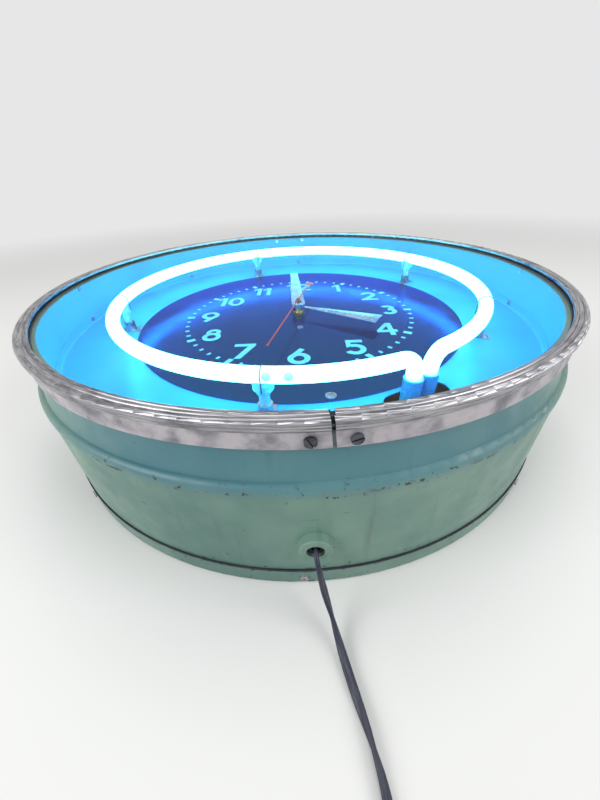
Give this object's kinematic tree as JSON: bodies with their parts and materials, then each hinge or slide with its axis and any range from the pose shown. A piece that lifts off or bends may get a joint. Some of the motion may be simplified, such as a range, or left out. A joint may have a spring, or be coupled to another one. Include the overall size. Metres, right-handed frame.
{
  "type": "advertising clock",
  "caption": "Round neon wall clock: pressed steel drum case, ribbed aluminium bezel, glass front, lit ring tube in a reflector, black dial with hands, geared movement, cord and plug.",
  "frame": {"origin": "centre of the base plane, where the rim of the back cover rests", "axes": "+Z out of the dial, +Y towards 12 o'clock, -Y towards 6 o'clock where the cord comes out"},
  "size_m": [0.6718, 0.9274, 0.184],
  "materials": {
    "case_paint": "worn gloss enamel, green",
    "bezel_aluminium": "rolled, ribbed, lightly oxidised",
    "plated_steel": "dull zinc plate",
    "seal_rubber": "matte black",
    "clear_glass": "clear",
    "reflector_paint": "white enamel",
    "dial_black": "mirror gloss black",
    "dial_white": "printed white",
    "neon_glass": "lit cyan gas tube",
    "support_glass": "pressed glass",
    "sleeve_plastic": "translucent blue",
    "spring_steel": "plain",
    "hand_metal": "polished",
    "second_red": "red enamel",
    "brass": "turned",
    "coil_tape": "varnished tape",
    "core_steel": "stacked laminations",
    "transformer_black": "black enamel",
    "porcelain": "glazed",
    "bakelite": "dark moulded",
    "lead_insulation": "high-voltage lead",
    "cord_rubber": "dark flexible cord"
  },
  "bodies": {
    "clock_case": {"back_cover": "case_paint", "back_cover_screws": "plated_steel", "rim_seal": "seal_rubber", "rear_drum": "case_paint", "front_case_ring": "case_paint", "bezel_band": "bezel_aluminium", "bezel_joint_strap": "core_steel", "bezel_screws": "plated_steel", "glass_gasket": "seal_rubber", "cover_glass": "clear_glass", "reflector_wall": "reflector_paint", "wall_rivets": "plated_steel", "reflector_deck": "reflector_paint", "reflector_screws": "plated_steel", "deck_brackets": "plated_steel", "dial_plate": "dial_black", "dial_numerals": "dial_white", "minute_markers": "dial_white", "dial_screws": "plated_steel", "neon_tube": "neon_glass", "tube_electrodes": "plated_steel", "electrode_sleeves": "sleeve_plastic", "tube_supports": "support_glass", "support_clips": "spring_steel", "tie_wires": "spring_steel", "movement_front_plate": "brass", "movement_back_plate": "brass", "movement_pillars": "plated_steel", "rotor_can": "brass", "motor_core": "core_steel", "motor_coil": "coil_tape", "centre_bushing": "brass", "centre_nut": "brass", "transformer_case": "transformer_black", "transformer_insulators": "porcelain", "transformer_screws": "plated_steel", "high_voltage_leads": "lead_insulation", "terminal_block": "bakelite", "cord_bushing": "case_paint", "bushing_locknut": "plated_steel", "cord_grommet": "seal_rubber", "mains_lead": "lead_insulation", "power_cord": "cord_rubber", "power_cord_coil": "cord_rubber", "coil_tie": "spring_steel", "plug_body": "cord_rubber", "plug_blades": "brass"},
    "minute_hand": {"minute_hand": "hand_metal", "hand_nut": "core_steel", "cannon_pinion": "brass"},
    "hour_hand": {"hour_hand": "hand_metal", "hour_wheel": "brass"},
    "minute_wheel": {"minute_wheel": "brass"},
    "set_knob": {"set_knob": "bakelite", "set_arbor": "brass"},
    "second_hand": {"second_hand": "second_red", "second_arbor": "brass"},
    "third_wheel": {"third_wheel": "brass"},
    "centre_wheel": {"centre_wheel": "brass"},
    "motor_pinion": {"motor_pinion": "brass"}
  },
  "joints": [
    {"name": "minute_hand_spin", "type": "hinge", "parent": "clock_case", "child": "minute_hand", "pos_m": [0, 0, 0.115], "axis": [0, 0, 1], "continuous": true},
    {"name": "hour_hand_spin", "type": "hinge", "parent": "clock_case", "child": "hour_hand", "pos_m": [0, 0, 0.12], "axis": [0, 0, 1], "continuous": true},
    {"name": "minute_wheel_spin", "type": "hinge", "parent": "clock_case", "child": "minute_wheel", "pos_m": [0.01697, 0.01697, 0.112], "axis": [0, 0, 1], "continuous": true},
    {"name": "set_knob_spin", "type": "hinge", "parent": "clock_case", "child": "set_knob", "pos_m": [0.03394, 0.03394, 0.06], "axis": [0, 0, 1], "continuous": true},
    {"name": "second_hand_spin", "type": "hinge", "parent": "clock_case", "child": "second_hand", "pos_m": [0, 0, 0.1], "axis": [0, 0, 1], "continuous": true},
    {"name": "third_wheel_spin", "type": "hinge", "parent": "clock_case", "child": "third_wheel", "pos_m": [-0.01414, -0.01414, 0.095], "axis": [0, 0, 1], "continuous": true},
    {"name": "centre_wheel_spin", "type": "hinge", "parent": "clock_case", "child": "centre_wheel", "pos_m": [0, 0, 0.099], "axis": [0, 0, 1], "continuous": true},
    {"name": "motor_pinion_spin", "type": "hinge", "parent": "clock_case", "child": "motor_pinion", "pos_m": [0.0099, 0.0099, 0.08], "axis": [0, 0, 1], "continuous": true}
  ],
  "couplings": [
    {"joint": "hour_hand_spin", "follows": "minute_hand_spin", "ratio": 0.083333},
    {"joint": "minute_wheel_spin", "follows": "minute_hand_spin", "ratio": -0.33333},
    {"joint": "set_knob_spin", "follows": "minute_hand_spin", "ratio": 1},
    {"joint": "third_wheel_spin", "follows": "second_hand_spin", "ratio": -0.125},
    {"joint": "centre_wheel_spin", "follows": "second_hand_spin", "ratio": 0.016667},
    {"joint": "motor_pinion_spin", "follows": "second_hand_spin", "ratio": -3.6}
  ]
}
